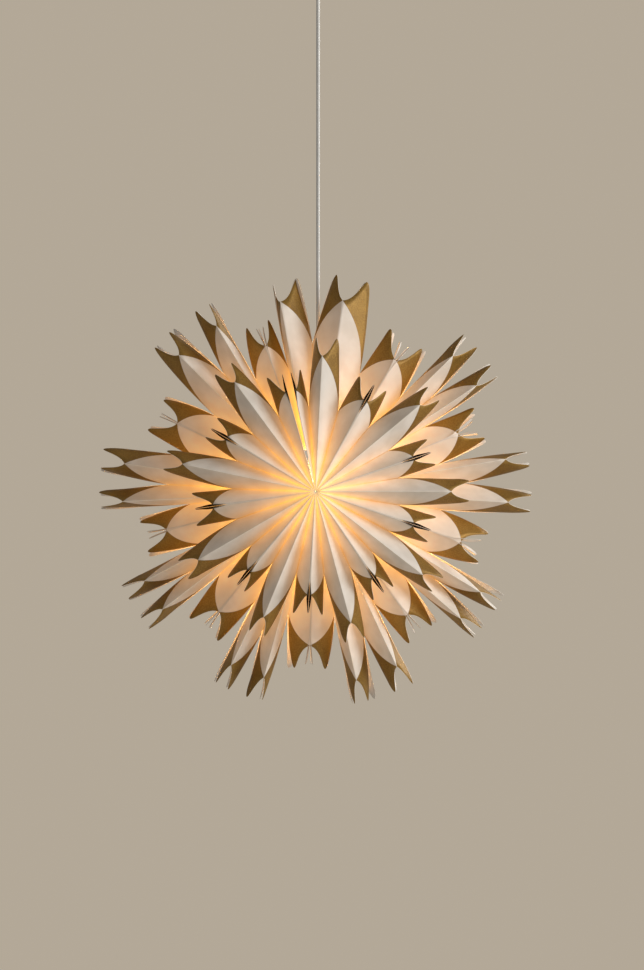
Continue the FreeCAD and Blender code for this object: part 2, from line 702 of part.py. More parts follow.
# The cord hangs straight under its load, from the hanger down into the lampholder's cap.
cord_end = size["cap_start"] + size["cap_floor"] + size["cord_clearance"] - size["drop"]
cord_length = cord_start - cord_end
cord = Part.makeCylinder(size["cord_radius"], cord_length, Vector(0, 0, cord_end))
add_shape("pendant_cord", cord)
print(f"cord {cord_length:.1f} mm long, straight, from {cord_start:.1f} down to {cord_end:.1f}")
print(f"hook seat {hook_seat:.2f}, ring foot {ring_foot:.2f}, hanger foot {hanger_foot:.2f}")

doc.recompute()

for obj in doc.Objects:
    if "Invalid" in obj.State or "Error" in obj.State:
        raise RuntimeError(f"{obj.Label} failed: {obj.State}")
for node in nodes:
    if node.Shape.isNull() or not node.Shape.isValid():
        raise RuntimeError(f"{node.Label} has no valid shape")
labels = [node.Label for node in nodes]
if len(set(labels)) != len(labels):
    raise RuntimeError("two sub-parts share a name")

os.makedirs("parts", exist_ok=True)
for node in nodes:
    node.Shape.exportStep(f"parts/{node.Label}.step")
print(f"{len(nodes)} sub-parts written")
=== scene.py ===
import math
import bpy
import numpy as np
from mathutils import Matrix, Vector


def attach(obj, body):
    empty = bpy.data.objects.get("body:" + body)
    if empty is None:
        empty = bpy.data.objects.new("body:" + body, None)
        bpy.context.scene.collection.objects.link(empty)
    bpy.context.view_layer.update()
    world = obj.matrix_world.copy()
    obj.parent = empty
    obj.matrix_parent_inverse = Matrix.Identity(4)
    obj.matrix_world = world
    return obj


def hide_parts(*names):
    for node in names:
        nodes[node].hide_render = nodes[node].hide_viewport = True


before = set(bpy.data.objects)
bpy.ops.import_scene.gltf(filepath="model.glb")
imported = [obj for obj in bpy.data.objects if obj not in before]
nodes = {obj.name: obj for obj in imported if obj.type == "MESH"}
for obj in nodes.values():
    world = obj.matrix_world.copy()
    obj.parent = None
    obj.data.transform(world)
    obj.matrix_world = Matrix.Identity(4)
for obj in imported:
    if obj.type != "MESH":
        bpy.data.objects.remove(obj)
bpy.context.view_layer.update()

# The star's centre in metres. Paper is worked out in millimetres from there, x right and z up.
star = np.array([-0.0035, 0.0, -0.765])
front, back = -1, 1


# A Wire is one socket, with plain arithmetic that adds Math nodes. A Finish is one material.
class Wire:
    def __init__(self, finish, socket):
        self.finish = finish
        self.socket = socket

    def run(self, operation, *values):
        names = {n: v for n, v in enumerate(values)}
        return self.finish.node("ShaderNodeMath", {"operation": operation}, names)

    def __add__(self, other): return self.run("ADD", self, other)
    def __radd__(self, other): return self.run("ADD", other, self)
    def __sub__(self, other): return self.run("SUBTRACT", self, other)
    def __rsub__(self, other): return self.run("SUBTRACT", other, self)
    def __mul__(self, other): return self.run("MULTIPLY", self, other)

    # 0 below low, 1 above high, smooth between.
    def rise(self, low, high):
        settings = {"interpolation_type": "SMOOTHSTEP"}
        inputs = {"Value": self, "From Min": low, "From Max": high}
        return self.finish.node("ShaderNodeMapRange", settings, inputs)


class Finish:
    def __init__(self, name):
        self.material = bpy.data.materials.new(name)
        self.material.use_nodes = True
        self.tree = self.material.node_tree
        self.shader = self.tree.nodes["Principled BSDF"]

    def feed(self, socket, value):
        if isinstance(value, Wire):
            self.tree.links.new(value.socket, socket)
        elif isinstance(value, (tuple, list)) and len(value) == 3 and len(socket.default_value) == 4:
            socket.default_value = (*value, 1.0)
        else:
            socket.default_value = value

    def node(self, kind, settings=None, inputs=None, out=0):
        made = self.tree.nodes.new(kind)
        for key, value in (settings or {}).items():
            if key == "stops":
                ramp = made.color_ramp
                while len(ramp.elements) < len(value):
                    ramp.elements.new(0.5)
                for stop, (place, colour) in zip(ramp.elements, value):
                    stop.position = place
                    stop.color = (*colour, 1.0)
            else:
                setattr(made, key, value)
        for key, value in (inputs or {}).items():
            self.feed(made.inputs[key], value)
        return Wire(self, made.outputs[out])

    def mix(self, share, one, two):
        return self.node("ShaderNodeMix", {"data_type": "RGBA"}, {0: share, 6: one, 7: two}, 2)

    def place(self):
        return self.node("ShaderNodeTexCoord", out=3)

    def noise(self, scale, detail=3.0):
        inputs = {"Vector": self.place(), "Scale": scale, "Detail": detail}
        return self.node("ShaderNodeTexNoise", None, inputs)

    def value(self, name):
        return self.node("ShaderNodeAttribute", {"attribute_name": name}, None, 2)

    def bump(self, height, strength, distance=0.0004):
        inputs = {"Height": height, "Strength": strength, "Distance": distance}
        return self.node("ShaderNodeBump", None, inputs)

    def done(self, **sockets):
        for name, value in sockets.items():
            self.feed(self.shader.inputs[name.replace("_", " ")], value)
        return self.material


# White paper and its olive gold print, two painted glow colours for the lamp's light through that print
# (beside the lamp and at the far tips), the fineness of its grain and the print's soft edge.
paperLook = {
    "white": (0.80, 0.765, 0.71),
    "whiteShade": (0.71, 0.665, 0.60),
    "gold": (0.340, 0.195, 0.036),
    "goldDeep": (0.210, 0.112, 0.015),
    "goldBacklit": (0.105, 0.036, 0.002),
    "goldGlowFar": (0.014, 0.006, 0.001),
    "fibre": 520.0,
    "cloud": 38.0,
    "printEdge": 0.35,
}

# Emission of the lit paper by its glow value, from beside the lamp (0) to the far tips (1).
frontGlow = [(0.0, (0.64, 0.330, 0.040)), (0.20, (0.56, 0.250, 0.030)), (0.40, (0.36, 0.145, 0.020)),
             (0.60, (0.21, 0.088, 0.016)), (0.80, (0.125, 0.060, 0.016)), (1.0, (0.050, 0.030, 0.014))]
rimGlow = [(0.0, (0.66, 0.320, 0.050)), (0.25, (0.40, 0.170, 0.030)), (0.50, (0.20, 0.088, 0.020)),
           (0.75, (0.10, 0.050, 0.016)), (1.0, (0.045, 0.026, 0.012))]
insideGlow = [(0.0, (1.0, 0.66, 0.20)), (0.35, (0.80, 0.36, 0.085)), (0.7, (0.20, 0.10, 0.036)),
              (1.0, (0.04, 0.026, 0.014))]


# White paper printed gold outside the leaf line: the mask is the sign of the distance to that line. Its
# emission is a painted glow of the lamp inside the star, brighter through the white paper than through the
# print.
def printedPaper(name, stops):
    skin = Finish(name)
    fibre = skin.noise(paperLook["fibre"], 4.0)
    cloud = skin.noise(paperLook["cloud"], 2.0)
    gold = skin.value("leaf").rise(-paperLook["printEdge"], paperLook["printEdge"])
    white = skin.mix(cloud.rise(0.3, 0.7), paperLook["white"], paperLook["whiteShade"])
    metal = skin.mix((fibre * 0.6 + cloud * 0.4).rise(0.35, 0.65), paperLook["goldDeep"], paperLook["gold"])
    lit = skin.node("ShaderNodeValToRGB", {"stops": stops}, {0: skin.value("glow") + (cloud - 0.5) * 0.08})
    dim = skin.mix(skin.value("glow").rise(0.2, 0.9), paperLook["goldBacklit"], paperLook["goldGlowFar"])
    return skin.done(Base_Color=skin.mix(gold, white, metal), Roughness=0.74 - gold * 0.22,
                     Metallic=gold * 0.40, Emission_Color=skin.mix(gold, lit, dim), Emission_Strength=1.0,
                     Normal=skin.bump(fibre, 0.25))


# Plain white paper. Its emission is a painted glow of the lamp inside, set by the glow value through the
# given stops.
def plainPaper(name, stops, strength):
    skin = Finish(name)
    fibre = skin.noise(paperLook["fibre"], 4.0)
    cloud = skin.noise(paperLook["cloud"], 2.0)
    lit = skin.node("ShaderNodeValToRGB", {"stops": stops}, {0: skin.value("glow") + (cloud - 0.5) * 0.06})
    return skin.done(Base_Color=skin.mix(cloud.rise(0.3, 0.7), paperLook["white"], paperLook["whiteShade"]),
                     Roughness=0.6 + fibre * 0.3, Emission_Color=lit, Emission_Strength=strength,
                     Normal=skin.bump(fibre, 0.25))


frontPaper = printedPaper("frontPaper", frontGlow)
rimPaper = printedPaper("rimPaper", rimGlow)
# Painted glow of the lamp in the emission of the sheets' inner faces and of their cut edges, strongest
# beside the lamp.
innerPaper = plainPaper("innerPaper", insideGlow, 0.9)
cutEdge = plainPaper("cutEdge", [(0.0, (0.40, 0.27, 0.12)), (1.0, (0.20, 0.15, 0.10))], 0.8)


# Painted shade in the slit between two neighbouring bags: near-black where the leaf value is high, standing
# for the shadow on their gold backs deep in that slit, and elsewhere white paper with a painted glow of the
# lamp.
def slitPaintedShade():
    skin = Finish("slitPaintedShade")
    fibre = skin.noise(paperLook["fibre"], 4.0)
    paintedShade = skin.value("leaf").rise(-2.0, 2.0)
    lit = skin.node("ShaderNodeValToRGB", {"stops": insideGlow}, {0: skin.value("glow")})
    return skin.done(Base_Color=skin.mix(paintedShade, paperLook["whiteShade"], (0.010, 0.006, 0.003)),
                     Roughness=0.7 + fibre * 0.2, Specular_IOR_Level=0.05, Emission_Strength=0.6,
                     Emission_Color=skin.mix(paintedShade, lit, (0.0, 0.0, 0.0)), Normal=skin.bump(fibre, 0.2))


slit = slitPaintedShade()
# The seam walls also carry a painted glow of the lamp, by the rim's stops at a lower strength.
wallSkin = plainPaper("wallSkin", rimGlow, 0.35)
print("paper finishes ready")

# All sheets: sizes in millimetres, crowns and hollows as shares of the line they bend.
sheetSizes = {
    "thickness": 0.45, "hollow": 0.105, "edgeCrown": 0.040, "leafCrown": 0.125, "acrossSteps": 16,
    "bulge": 1.1, "curl": 1.6, "seamGap": 0.13, "wingReach": 1.020, "twist": 0.45, "seed": 11,
    "hollowEnd": 0.80, "lowerStart": 0.17, "hollowSkew": (1.6, 1.3), "kneeCorner": 15,
    "bulgeFrom": 90.0, "curlOver": 22.0, "shoveOver": 3.0, "wingNarrower": 0.06, "wingSpread": 0.05,
    "innerReach": 1.02, "bulgeSpread": (0.4, 1.2), "curlSpread": (-0.5, 1.2), "cutSteps": (13, 12, 6),
}
frontRing = {
    "depth": 118.0, "foldSlope": 0.14, "notchSlope": 0.42, "inner": 0.4,
    "seamTip": 145.0, "seamWing": 178.5, "seamShare": 0.56,
    "ridgeTip": 190.0, "ridgeWing": 220.0, "ridgeShare": 0.35, "notch": 125.0,
    "first": 18.7, "closingGap": 3.7,
    "spread": (42.5, 40.7, 43.4, 39.2, 41.9, 36.4, 37.6, 37.3, 37.3),
    "ridge": (0.492, 0.639, 0.479, 0.492, 0.527, 0.481, 0.495, 0.485, 0.499),
}
rimRing = {
    "depth": 82.0, "seamSlope": 0.20, "notchSlope": 0.36, "ridgeSlope": 0.18, "mouthSlope": 0.375,
    "inner": 62.0, "seamTip": 219.0, "seamWing": 258.5, "seamShare": 0.5, "notch": 186.0,
    "ridgeTip": 273.5, "ridgeWing": 311.0, "ridgeShare": 0.44, "mouthNotch": 220.0,
    "petalHalf": 10.7, "petalShare": 0.77, "first": 22.0,
    "spread": (36.7, 50.1, 44.9, 40.8, 36.7, 36.7, 38.7, 34.5, 40.9),
    "one": (0.308, 0.463, 0.269, 0.441, 0.357, 0.351, 0.370, 0.354, 0.384),
    "two": (0.616, 0.834, 0.584, 0.718, 0.629, 0.635, 0.698, 0.638, 0.698),
}
bagCount = len(frontRing["spread"])
millimetre = 0.001
hair = 1e-6
rng = np.random.default_rng(sheetSizes["seed"])


def unit(vector):
    return vector / np.linalg.norm(vector)


# A fold leaves its pole outward and leans back towards the middle plane by its slope.
def foldLine(azimuth, slope, tip, wing=None, share=None):
    return {"azimuth": math.radians(azimuth), "slope": slope, "tip": tip, "wing": wing, "share": share}


def foldDirection(line, side):
    return unit(np.array([math.cos(line["azimuth"]), -side * line["slope"], math.sin(line["azimuth"])]))


def bagBounds(first, spreads, gapAfter, gap):
    starts, at = [], first
    for n, spread in enumerate(spreads):
        starts.append((at, at + spread))
        at += spread + (gap if n == gapAfter else 0.0)
    return starts


def frontFolds(n):
    r = frontRing
    start, end = bagBounds(r["first"], r["spread"], 1, r["closingGap"])[n]
    start, end = start + sheetSizes["seamGap"], end - sheetSizes["seamGap"]
    ridge = start + (end - start) * r["ridge"][n]
    seam = (r["foldSlope"], r["seamTip"], r["seamWing"], r["seamShare"])
    return [foldLine(start, *seam), foldLine((start + ridge) / 2, r["notchSlope"], r["notch"]),
            foldLine(ridge, r["foldSlope"], r["ridgeTip"], r["ridgeWing"], r["ridgeShare"]),
            foldLine((ridge + end) / 2, r["notchSlope"], r["notch"]), foldLine(end, *seam)]


def rimFolds(n):
    r = rimRing
    start, end = bagBounds(r["first"], r["spread"], -1, 0.0)[n]
    one, two = start + (end - start) * r["one"][n], start + (end - start) * r["two"][n]
    near = min(r["petalHalf"], r["petalShare"] * (one - start))
    far = min(r["petalHalf"], r["petalShare"] * (end - two))
    seam = (r["seamSlope"], r["seamTip"], r["seamWing"], r["seamShare"])
    ridge = (r["ridgeSlope"], r["ridgeTip"], r["ridgeWing"], r["ridgeShare"])
    return [foldLine(start, *seam), foldLine(start + near, r["notchSlope"], r["notch"]),
            foldLine(one, *ridge), foldLine((one + two) / 2, r["mouthSlope"], r["mouthNotch"]),
            foldLine(two, *ridge), foldLine(end - far, r["notchSlope"], r["notch"]), foldLine(end, *seam)]


# Height of a rim sheet's lean along a ray: the two folds beside it, weighted by the sine of the turns.
def rimSlope(azimuth):
    for n in range(bagCount):
        folds = rimFolds(n)
        for turns in (-math.tau, 0.0, math.tau):
            for one, two in zip(folds, folds[1:]):
                low, high, at = one["azimuth"], two["azimuth"], azimuth + turns
                if low - hair <= at <= high + hair:
                    share = math.sin(at - low) / math.sin(high - low)
                    return one["slope"] * math.sin(high - at) / math.sin(high - low) + two["slope"] * share
    return rimRing["seamSlope"]


# Cut edge in the panel's plane: a hollow from tip to wing, a rounded knee at the wing, and a
# slightly crowned line to the notch. Each crown is four times its rise times s (1 - s), and the
# hollow's is weighted towards the tip. The knee's corner reaches past the wing's true end, which
# sets the two directions of bend.
def cutLine(tip, wing, notch):
    chord, fall = wing - tip, notch - wing
    pull = np.array([-chord[1], chord[0]])
    pull = pull if pull @ tip < 0 else -pull
    push = np.array([-fall[1], fall[0]])
    push = push if push @ wing > 0 else -push
    wing = wing * sheetSizes["wingReach"]
    chord, fall = wing - tip, notch - wing
    upperSteps, lowerSteps, kneeSteps = sheetSizes["cutSteps"]
    s = np.linspace(0.0, sheetSizes["hollowEnd"], upperSteps)[:, None]
    t = np.linspace(sheetSizes["lowerStart"], 1.0, lowerSteps)[:, None]
    c = np.linspace(0.0, 1.0, kneeSteps)[1:-1, None]
    most, less = sheetSizes["hollowSkew"]
    hollow = tip + chord * s + pull * (4 * sheetSizes["hollow"]) * s * (1 - s) * (most - less * s)
    lower = wing + fall * t + push * (4 * sheetSizes["edgeCrown"]) * t * (1 - t)
    knee = hollow[-1] * (1 - c) ** 2 + wing * (2 * c * (1 - c)) + lower[0] * c ** 2
    return np.vstack([hollow, knee, lower])


# Distance beyond the printed leaf line, which runs from tip to notch with a crown of its own.
def leafDistance(points, tip, notch):
    chord = notch - tip
    length = np.linalg.norm(chord)
    out = np.array([-chord[1], chord[0]]) / length
    out = out if out @ tip > 0 else -out
    along = (points - tip) @ chord / length ** 2
    inside = np.clip(along, 0.0, 1.0)
    return (points - tip) @ out - 4 * sheetSizes["leafCrown"] * length * inside * (1 - inside)


# Flat sides of the front and back bags, and the dark spindle between two of them; the spindle and the flat
# sides near it are painted near-black as the shade in that slit.
flapSizes = {"stand": 0.22, "spindle": 2.3, "spindleAt": 147.0, "spindleWidth": 14.0, "turn": 10.0,
             "strip": 6.0, "rootRadius": 20.0, "steps": 40, "down": 10,
             "rootAt": 4.0, "rootDrop": 1.4, "rimGap": 0.6, "azimuthStep": 0.004,
             "shadeFrom": 0.12, "shadeOver": 30.0, "shadeFall": 70.0, "needleAt": 149.0,
             "needleHalf": 21.0, "needleWidth": 2.0, "needleFall": 0.2, "needleProud": 0.7,
             "needleLap": 0.1, "needlePower": 1.3,
             "needleSteps": (30, 4), "needlePaintedShade": 5.0}


# How far the slit between two bags stands open, from 0 to 1, as a bell of the radius.
def slitBell(radius):
    return np.exp(-((radius - flapSizes["spindleAt"]) / flapSizes["spindleWidth"]) ** 2)


# Half petal: lines run from an inner circle to the cut line. The paper bulges between its two folds
# by a sine of the turn, and its wing curls by the square of the distance past the leaf line.
def petalPanel(pole, side, petal, valley, inner, opening=0.0):
    a, b = foldDirection(petal, side), foldDirection(valley, side)
    across = unit(b - a * (a @ b))
    full = math.acos(a @ b)
    turn = petal["share"] * full
    tip = np.array([petal["tip"], 0.0])
    wing = petal["wing"] * np.array([math.cos(turn), math.sin(turn)])
    notch = valley["tip"] * np.array([math.cos(full), math.sin(full)])
    outer = cutLine(tip, wing, notch)
    steps = np.linalg.norm(np.diff(outer, axis=0), axis=1)
    share = np.concatenate([[0.0], np.cumsum(steps)]) / steps.sum()
    root = inner * sheetSizes["innerReach"] * np.column_stack([np.cos(full * share), np.sin(full * share)])
    v = np.linspace(0.0, 1.0, sheetSizes["acrossSteps"])[None, :, None]
    flat = root[:, None, :] * (1 - v) + outer[:, None, :] * v
    length = np.linalg.norm(flat, axis=2)
    fold = np.clip(np.arctan2(flat[..., 1], flat[..., 0]) / full, 0.0, 1.0)
    leaf = leafDistance(flat.reshape(-1, 2), tip, notch).reshape(length.shape)
    normal = np.cross(a, across)
    normal = normal if normal[1] * side > 0 else -normal
    bulge = sheetSizes["bulge"] * rng.uniform(*sheetSizes["bulgeSpread"])
    curl = sheetSizes["curl"] * rng.uniform(*sheetSizes["curlSpread"])
    rise = bulge * np.sin(math.pi * fold) * np.clip(length / sheetSizes["bulgeFrom"], 0.0, 1.0)
    rise = rise + curl * (np.clip(leaf, 0.0, None) / sheetSizes["curlOver"]) ** 2
    shove = opening * slitBell(length) * np.clip(1 - fold * sheetSizes["shoveOver"], 0.0, 1.0)
    aside = flat[..., 1:] + shove[..., None]
    solid = pole + flat[..., :1] * a + aside * across + rise[..., None] * normal
    return {"points": solid, "leaf": leaf, "fold": fold, "normal": normal}


# The same line in evenly spaced points.
def resample(line, count):
    lengths = np.concatenate([[0.0], np.cumsum(np.linalg.norm(np.diff(line, axis=0), axis=1))])
    at = np.linspace(0.0, lengths[-1], count)
    return np.column_stack([np.interp(at, lengths, line[:, 0]), np.interp(at, lengths, line[:, 1])])


# Points of a sheet in the plane of a seam, set off to one side of it, and the way across that seam.
def besideSeam(azimuth, side, towards, flat, stand):
    ray = np.array([math.cos(azimuth), 0.0, math.sin(azimuth)])
    across = np.array([-math.sin(azimuth), 0.0, math.cos(azimuth)]) * towards
    deep = np.array([0.0, side, 0.0])
    return flat[..., :1] * ray + flat[..., 1:] * deep + stand[..., None] * across, across


# Flat side of a bag in the plane of its seam: a ruled sheet between the fold and wing above and the
# rim below. It stands off the seam by a bell of the radius, so that a dark spindle opens at the tip.
def bagFlap(azimuth, side, towards):
    r, f = frontRing, flapSizes
    lean = math.atan(r["foldSlope"])
    wingLean = lean + math.radians(f["turn"])
    tip = np.array([r["seamTip"] * math.cos(lean), r["depth"] - r["seamTip"] * math.sin(lean)])
    wing = np.array([r["seamWing"] * math.cos(wingLean), r["depth"] - r["seamWing"] * math.sin(wingLean)])
    slope = rimSlope(azimuth + towards * f["azimuthStep"])
    notchRadius = r["notch"] * math.cos(math.atan(r["notchSlope"]))
    rimAt = lambda radius: rimRing["depth"] - slope * radius + f["rimGap"]
    notch = np.array([notchRadius, rimAt(notchRadius)])
    drop = np.array([0.0, r["depth"]])
    edge = cutLine(tip - drop, wing - drop, notch - drop) + drop
    corner = sheetSizes["kneeCorner"]
    top = np.vstack([[[f["rootAt"], r["depth"] - f["rootDrop"]]], edge[:corner + 1]])
    root = f["rootRadius"]
    low = np.vstack([[[f["rootAt"], r["depth"] - f["strip"]]],
                     [[root, r["depth"] - r["foldSlope"] * root - 2 * f["strip"]]],
                     [[rimRing["inner"], rimAt(rimRing["inner"])]], [notch], edge[corner:][::-1][1:]])
    top, low = resample(top, f["steps"]), resample(low, f["steps"])
    v = np.linspace(0.0, 1.0, f["down"])[None, :, None]
    flat = top[:, None, :] * (1 - v) + low[:, None, :] * v
    bell = slitBell(flat[..., 0])
    # On a flat side the leaf value is painted shade, not print: positive around the open spindle, where the
    # slit finish paints the paper near-black.
    leaf = (bell - f["shadeFrom"]) * f["shadeOver"] - f["shadeFall"] * v[..., 0]
    stand = f["stand"] + f["spindle"] * bell * (1 - v[..., 0]) ** 2
    solid, across = besideSeam(azimuth, side, towards, flat, stand)
    return {"points": solid, "leaf": leaf, "fold": np.zeros_like(leaf), "normal": -across, "skin": 3}


# Half of the dark spindle between two bags: a flat lens along the seam fold, past the petals' tip, a sheet
# painted near-black that stands for the shadow in the slit.
def paintedShadeNeedle(azimuth, side, towards):
    r, f = frontRing, flapSizes
    along, aside = f["needleSteps"]
    away = np.linspace(-1.0, 1.0, along)[:, None] * np.ones((1, aside))
    v = np.linspace(0.0, 1.0, aside)[None, :]
    radius = f["needleAt"] + f["needleHalf"] * away
    width = f["needleWidth"] * (1 - away ** 2) ** f["needlePower"] * v - f["needleLap"]
    fall = f["needleFall"] * np.clip(radius - r["seamTip"], 0.0, None)
    height = r["depth"] + f["needleProud"] - r["foldSlope"] * radius - fall
    solid = besideSeam(azimuth, side, towards, np.stack([radius, height], axis=-1), width)[0]
    return {"points": solid, "leaf": np.full(width.shape, f["needlePaintedShade"]), "fold": width * 0.0,
            "normal": np.array([0.0, float(side), 0.0]), "skin": 3}


# One layer of a seam wall, front or back half: flat from the lamp's room outwards, with a wing whose
# outer end bends off its neighbour by the square of the distance, most at the face towards the viewer.
wallSizes = {"stand": 0.25, "from": 192.0, "bend": 7.5, "wingRadius": 241.0, "wingDepth": 18.0,
             "notch": 198.0, "bendOver": 45.0, "nearest": 0.1, "furthest": 0.8, "litSide": 1.1,
             "middle": 0.3, "depthOver": 34.0}


def wallFlap(azimuth, side, towards):
    r, w = rimRing, wallSizes
    lean = math.atan(r["seamSlope"])
    drop = np.array([0.0, r["depth"]])
    tip = np.array([r["seamTip"] * math.cos(lean), r["depth"] - r["seamTip"] * math.sin(lean)])
    wing = np.array([w["wingRadius"], w["wingDepth"]])
    notch = np.array([w["notch"], 0.0])
    edge = cutLine(tip - drop, wing - drop, notch - drop) + drop
    corner = sheetSizes["kneeCorner"]
    near = r["inner"]
    top = np.vstack([[[near, r["depth"] - r["seamSlope"] * near]], edge[:corner + 1]])
    low = np.vstack([[[near, 0.0]], [notch], edge[corner:][::-1][1:]])
    top, low = resample(top, flapSizes["steps"]), resample(low, flapSizes["steps"])
    v = np.linspace(0.0, 1.0, flapSizes["down"])[None, :, None]
    flat = top[:, None, :] * (1 - v) + low[:, None, :] * v
    leaf = leafDistance(flat.reshape(-1, 2), tip, notch).reshape(flat.shape[:2])
    beyond = np.clip((flat[..., 0] - w["from"]) / w["bendOver"], 0.0, None)
    fan = rng.uniform(w["nearest"], w["furthest"]) + w["litSide"] * max(0.0, math.cos(azimuth)) ** 2
    bend = w["bend"] * fan * beyond ** 2 * (w["middle"] + flat[..., 1] / w["depthOver"])
    solid, across = besideSeam(azimuth, side, towards, flat, w["stand"] + bend)
    return {"points": solid, "leaf": leaf, "fold": np.zeros_like(leaf), "normal": -across}


# Corners of each grid cell, turned so that the face looks along the given normal.
def gridFaces(grid, normal, offset):
    rows, columns = grid.shape[:2]
    index = np.arange(rows * columns).reshape(rows, columns) + offset
    faces = np.stack([index[:-1, :-1], index[1:, :-1], index[1:, 1:], index[:-1, 1:]], axis=-1)
    faces = faces.reshape(-1, 4)
    middle = rows // 2
    one = grid[middle + 1, -2] - grid[middle, -2]
    two = grid[middle, -1] - grid[middle, -2]
    return faces if np.cross(one, two) @ normal > 0 else faces[:, ::-1]


# One object from its panels. Each point carries its distance past the leaf line, or on a bag's flat side
# and spindle its painted shade, and its glow.
def makeSheet(name, parts, glows, skins, node):
    points, faces, leaf, glow, skinOf, total = [], [], [], [], [], 0
    for part, lit in zip(parts, glows):
        grid = part["points"]
        faces.append(gridFaces(grid, part["normal"], total))
        skinOf.append(np.full(len(faces[-1]), part.get("skin", 0), np.int32))
        points.append(grid.reshape(-1, 3))
        leaf.append(part["leaf"].ravel())
        glow.append(lit.ravel())
        total += points[-1].shape[0]
    mesh = bpy.data.meshes.new(name)
    solid = np.vstack(points) * millimetre + star
    corners = np.vstack(faces)
    mesh.from_pydata(solid.tolist(), [], corners.tolist())
    for label, values in (("leaf", leaf), ("glow", glow)):
        store = mesh.attributes.new(label, "FLOAT", "POINT")
        store.data.foreach_set("value", np.concatenate(values).astype(np.float32))
    mesh.polygons.foreach_set("use_smooth", np.ones(len(corners), bool))
    mesh.update()
    piece = bpy.data.objects.new(name, mesh)
    bpy.context.scene.collection.objects.link(piece)
    for skin in skins:
        mesh.materials.append(skin)
    wall = piece.modifiers.new("wall", "SOLIDIFY")
    wall.thickness = sheetSizes["thickness"] * millimetre
    wall.offset = -1.0
    wall.material_offset = 1
    wall.material_offset_rim = 2
    mesh.polygons.foreach_set("material_index", np.concatenate(skinOf))
    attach(piece, "lamp")
    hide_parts(node)


def radiusOf(points):
    return np.hypot(points[..., 0], points[..., 2])


# How the glow value grows with the radius in millimetres, and towards a petal's own fold.
glowSizes = {
    "front": {"from": 0.0, "over": 165.0, "ridge": 0.26, "power": 1.5, "start": 0.10},
    "rim": {"from": 100.0, "over": 200.0, "ridge": 0.10, "power": 1.0, "start": 0.05},
    "jitter": 0.04, "flap": 0.97, "closingFrom": 0.25, "closingOver": 170.0,
}


# Glow value of a panel, from beside the lamp (0) to the far tips (1). Valleys are lower than folds.
def glowOf(part, g, lift):
    radius = radiusOf(part["points"])
    ridge = g["ridge"] * (1 - part["fold"]) ** g["power"]
    return np.clip((radius - g["from"]) / g["over"] + ridge - g["start"] + lift, 0.0, 1.0)


def jitter():
    return rng.uniform(-glowSizes["jitter"], glowSizes["jitter"])


# Flat sides at the closing seam, between the second and third bags, which the lamp lights.
closing = {(1, "end"), (2, "start")}
for n in range(bagCount):
    for side, word in ((front, "front"), (back, "back")):
        folds = frontFolds(n)
        pole = np.array([0.0, side * frontRing["depth"], 0.0])
        parts, glows = [], []
        for one, two in zip(folds, folds[1:]):
            petal, valley = (one, two) if one["wing"] else (two, one)
            seam = petal["share"] == frontRing["seamShare"]
            part = petalPanel(pole, side, petal, valley, frontRing["inner"], flapSizes["spindle"] * seam)
            parts.append(part)
            glows.append(glowOf(part, glowSizes["front"], jitter()))
        for fold, towards, end in ((folds[0], 1, "start"), (folds[-1], -1, "end")):
            part = bagFlap(fold["azimuth"], side, towards)
            lit = np.full(part["leaf"].shape, glowSizes["flap"])
            if (n, end) in closing:
                lit = glowSizes["closingFrom"] + radiusOf(part["points"]) / glowSizes["closingOver"]
            needle = paintedShadeNeedle(fold["azimuth"], side, towards)
            parts += [part, needle]
            glows += [np.clip(lit, 0.0, 1.0), np.ones(needle["leaf"].shape)]
        # Flat sides and spindles take the slit finish, which paints the shade in the slit between bags.
        makeSheet(f"{word}Bag{n + 1}", parts, glows, (frontPaper, innerPaper, cutEdge, slit, slit, slit),
                  f"{word}_bag_{n + 1}")
print("front and back bags made")

# Shares of a rim sheet's wings that the photo shows far off the usual, by sheet and panel.
wingShares = {(1, 1): 0.44, (1, 2): 0.215, (1, 3): 0.57, (1, 4): 0.8}


# Points turned about the star's own axis by a small angle in degrees.
def turned(points, angle):
    c, s = math.cos(math.radians(angle)), math.sin(math.radians(angle))
    return np.stack([points[..., 0] * c - points[..., 2] * s, points[..., 1],
                     points[..., 0] * s + points[..., 2] * c], axis=-1)


for n in range(bagCount):
    for side, word in ((front, "front"), (back, "back")):
        twist = sheetSizes["twist"] * rng.uniform(-1.0, 1.0)
        folds = rimFolds(n)
        pole = np.array([0.0, side * rimRing["depth"], 0.0])
        parts, glows = [], []
        for one, two in zip(folds, folds[1:]):
            petal, valley = (one, two) if one["wing"] else (two, one)
            if petal["share"] == rimRing["ridgeShare"]:
                spread = rng.uniform(-sheetSizes["wingSpread"], sheetSizes["wingSpread"])
                usual = rimRing["ridgeShare"] - sheetSizes["wingNarrower"] + spread
                petal = {**petal, "share": wingShares.get((n, len(parts)), usual)}
            part = petalPanel(pole, side, petal, valley, rimRing["inner"])
            if side == back:
                part["points"] = turned(part["points"], twist)
            parts.append(part)
            glows.append(glowOf(part, glowSizes["rim"], jitter()))
        makeSheet(f"rim{word.capitalize()}Sheet{n + 1}", parts, glows, (rimPaper, innerPaper, cutEdge),
                  f"rim_{word}_sheet_{n + 1}")
print("rim sheets made")

for n in range(bagCount):
    parts, glows = [], []
    for side in (front, back):
        for towards in (1, -1):
            part = wallFlap(rimFolds(n)[0]["azimuth"], side, towards)
            parts.append(part)
            glows.append(glowOf(part, glowSizes["rim"], 0.0))
    makeSheet(f"seamWall{n + 1}", parts, glows, (wallSkin, wallSkin, wallSkin), "seam_walls")
print("seam walls made")


